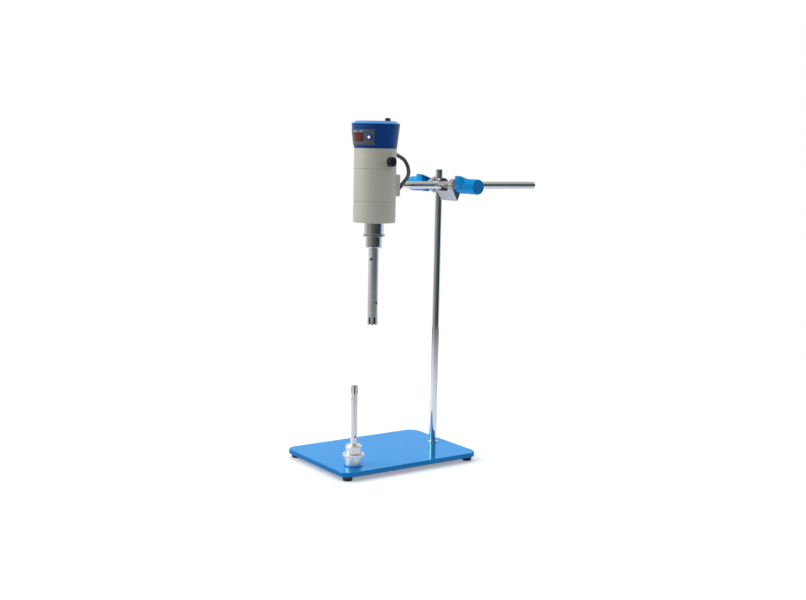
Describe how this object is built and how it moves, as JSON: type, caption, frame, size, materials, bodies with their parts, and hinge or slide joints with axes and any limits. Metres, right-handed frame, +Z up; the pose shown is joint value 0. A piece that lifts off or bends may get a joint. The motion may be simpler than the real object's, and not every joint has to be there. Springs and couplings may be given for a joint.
{
  "type": "rotor stator homogenizer",
  "caption": "Bench homogenizer: motor unit with a slotted rotor stator head on a column stand with a cross clamp, and a spare head on the plate.",
  "frame": {"origin": "middle of the whole object's outline at bench level, under the stand plate's right half", "axes": "+Z up, +X along the stand plate and the arm towards its free end, -Y towards the side that carries the arm"},
  "size_m": [0.459, 0.2118, 0.597],
  "materials": {
    "blue_paint": "gloss",
    "rubber": "matt",
    "lead_sheath": "satin",
    "chrome": "polished",
    "clamp_metal": "plated, satin",
    "steel": "satin",
    "knob_plastic": "gloss",
    "cream_paint": "satin",
    "cap_plastic": "satin",
    "panel_film": "matt",
    "window_filter": "gloss",
    "button_plastic": "gloss",
    "black_plastic": "matt",
    "board": "satin",
    "core_steel": "matt",
    "copper": "enamelled",
    "brass": "satin",
    "stainless": "fine turned",
    "white_polymer": "matt"
  },
  "bodies": {
    "stand": {"base_plate": "blue_paint", "feet": "rubber", "foot_screws": "steel", "column_washer": "chrome"},
    "column": {"column": "chrome", "column_nut": "steel"},
    "clamp": {"clamp_block": "clamp_metal"},
    "arm_knob": {"arm_clamp_knob": "knob_plastic", "arm_knob_cap": "knob_plastic", "arm_clamp_screw": "steel"},
    "column_knob": {"column_clamp_knob": "knob_plastic", "column_knob_cap": "knob_plastic", "column_clamp_screw": "steel"},
    "arm": {"arm_rod": "chrome", "arm_lock_nut": "chrome"},
    "motor": {"lower_housing": "cream_paint", "middle_housing": "cream_paint", "upper_housing": "cream_paint", "control_cap": "cap_plastic", "cap_lid": "cap_plastic", "control_panel": "panel_film", "display_window": "window_filter", "button_bezel": "black_plastic", "power_switch": "black_plastic", "circuit_board": "board", "display_module": "black_plastic", "speed_potentiometer": "black_plastic", "motor_nose": "stainless", "nose_screws": "steel", "lower_bearing": "steel", "upper_bearing": "steel", "field_core": "core_steel", "field_windings": "copper", "carbon_brushes": "black_plastic", "brush_holders": "brass", "brush_caps": "black_plastic", "lead_gland": "rubber", "lead_outlet": "rubber", "motor_lead": "lead_sheath"},
    "armature": {"motor_shaft": "steel", "drive_socket": "steel", "cooling_fan": "black_plastic", "armature_core": "core_steel", "commutator": "copper"},
    "speed_dial": {"speed_dial": "black_plastic", "dial_shaft": "steel"},
    "power_button": {"push_button": "button_plastic"},
    "work_head": {"head_collar": "stainless", "stator_tube": "stainless", "head_bushes": "white_polymer"},
    "union_nut": {"union_nut": "stainless"},
    "head_drive": {"drive_spindle": "stainless", "rotor": "stainless"},
    "spare_head": {"spare_collar": "stainless", "spare_stator_tube": "stainless", "spare_bushes": "white_polymer"},
    "spare_union_nut": {"spare_union_nut": "stainless"},
    "spare_drive": {"spare_spindle": "stainless", "spare_rotor": "stainless"}
  },
  "joints": [
    {"name": "column_swivel", "type": "hinge", "parent": "stand", "child": "column", "pos_m": [0.0225, 0.00585, 0.016], "axis": [0, 0, 1], "range_deg": [-90, 90]},
    {"name": "clamp_height", "type": "slide", "parent": "column", "child": "clamp", "axis": [0, 0, 1], "range_m": [-0.22, 0.015]},
    {"name": "arm_reach", "type": "slide", "parent": "clamp", "child": "arm", "axis": [1, 0, 0], "range_m": [-0.12, 0.05]},
    {"name": "arm_knob_turn", "type": "hinge", "parent": "clamp", "child": "arm_knob", "pos_m": [0.0225, -0.06415, 0.484], "axis": [0, -1, 0], "range_deg": [0, 360]},
    {"name": "column_knob_turn", "type": "hinge", "parent": "clamp", "child": "column_knob", "pos_m": [0.0225, 0.04585, 0.484], "axis": [0, 1, 0], "range_deg": [0, 360]},
    {"name": "motor_tilt", "type": "hinge", "parent": "arm", "child": "motor", "pos_m": [-0.0865, -0.01415, 0.484], "axis": [1, 0, 0], "range_deg": [-45, 45]},
    {"name": "armature_spin", "type": "hinge", "parent": "motor", "child": "armature", "pos_m": [-0.1275, -0.01415, 0.4214], "axis": [0, 0, 1], "continuous": true},
    {"name": "speed_dial_turn", "type": "hinge", "parent": "motor", "child": "speed_dial", "pos_m": [-0.1035, -0.01415, 0.592], "axis": [0, 0, -1], "range_deg": [0, 270]},
    {"name": "power_button_press", "type": "slide", "parent": "motor", "child": "power_button", "axis": [0.7498, 0.6517, 0.1144], "range_m": [0, 0.001], "stiffness_N_per_m": 400},
    {"name": "work_head_release", "type": "slide", "parent": "motor", "child": "work_head", "axis": [0, 0, -1], "range_m": [0, 0.04]},
    {"name": "union_nut_turn", "type": "hinge", "parent": "work_head", "child": "union_nut", "pos_m": [-0.1275, -0.01415, 0.4114], "axis": [0, 0, -1], "range_deg": [0, 720]},
    {"name": "head_spin", "type": "hinge", "parent": "work_head", "child": "head_drive", "pos_m": [-0.1275, -0.01415, 0.3214], "axis": [0, 0, 1], "continuous": true},
    {"name": "spare_head_lift", "type": "slide", "parent": "stand", "child": "spare_head", "axis": [0, 0, 1], "range_m": [0, 0.15]},
    {"name": "spare_nut_turn", "type": "hinge", "parent": "spare_head", "child": "spare_union_nut", "pos_m": [-0.1872, -0.05385, 0.026], "axis": [0, 0, 1], "range_deg": [0, 720]},
    {"name": "spare_spin", "type": "hinge", "parent": "spare_head", "child": "spare_drive", "pos_m": [-0.1872, -0.05385, 0.08], "axis": [0, 0, 1], "continuous": true}
  ],
  "couplings": [
    {"joint": "head_spin", "follows": "armature_spin", "ratio": 1}
  ]
}
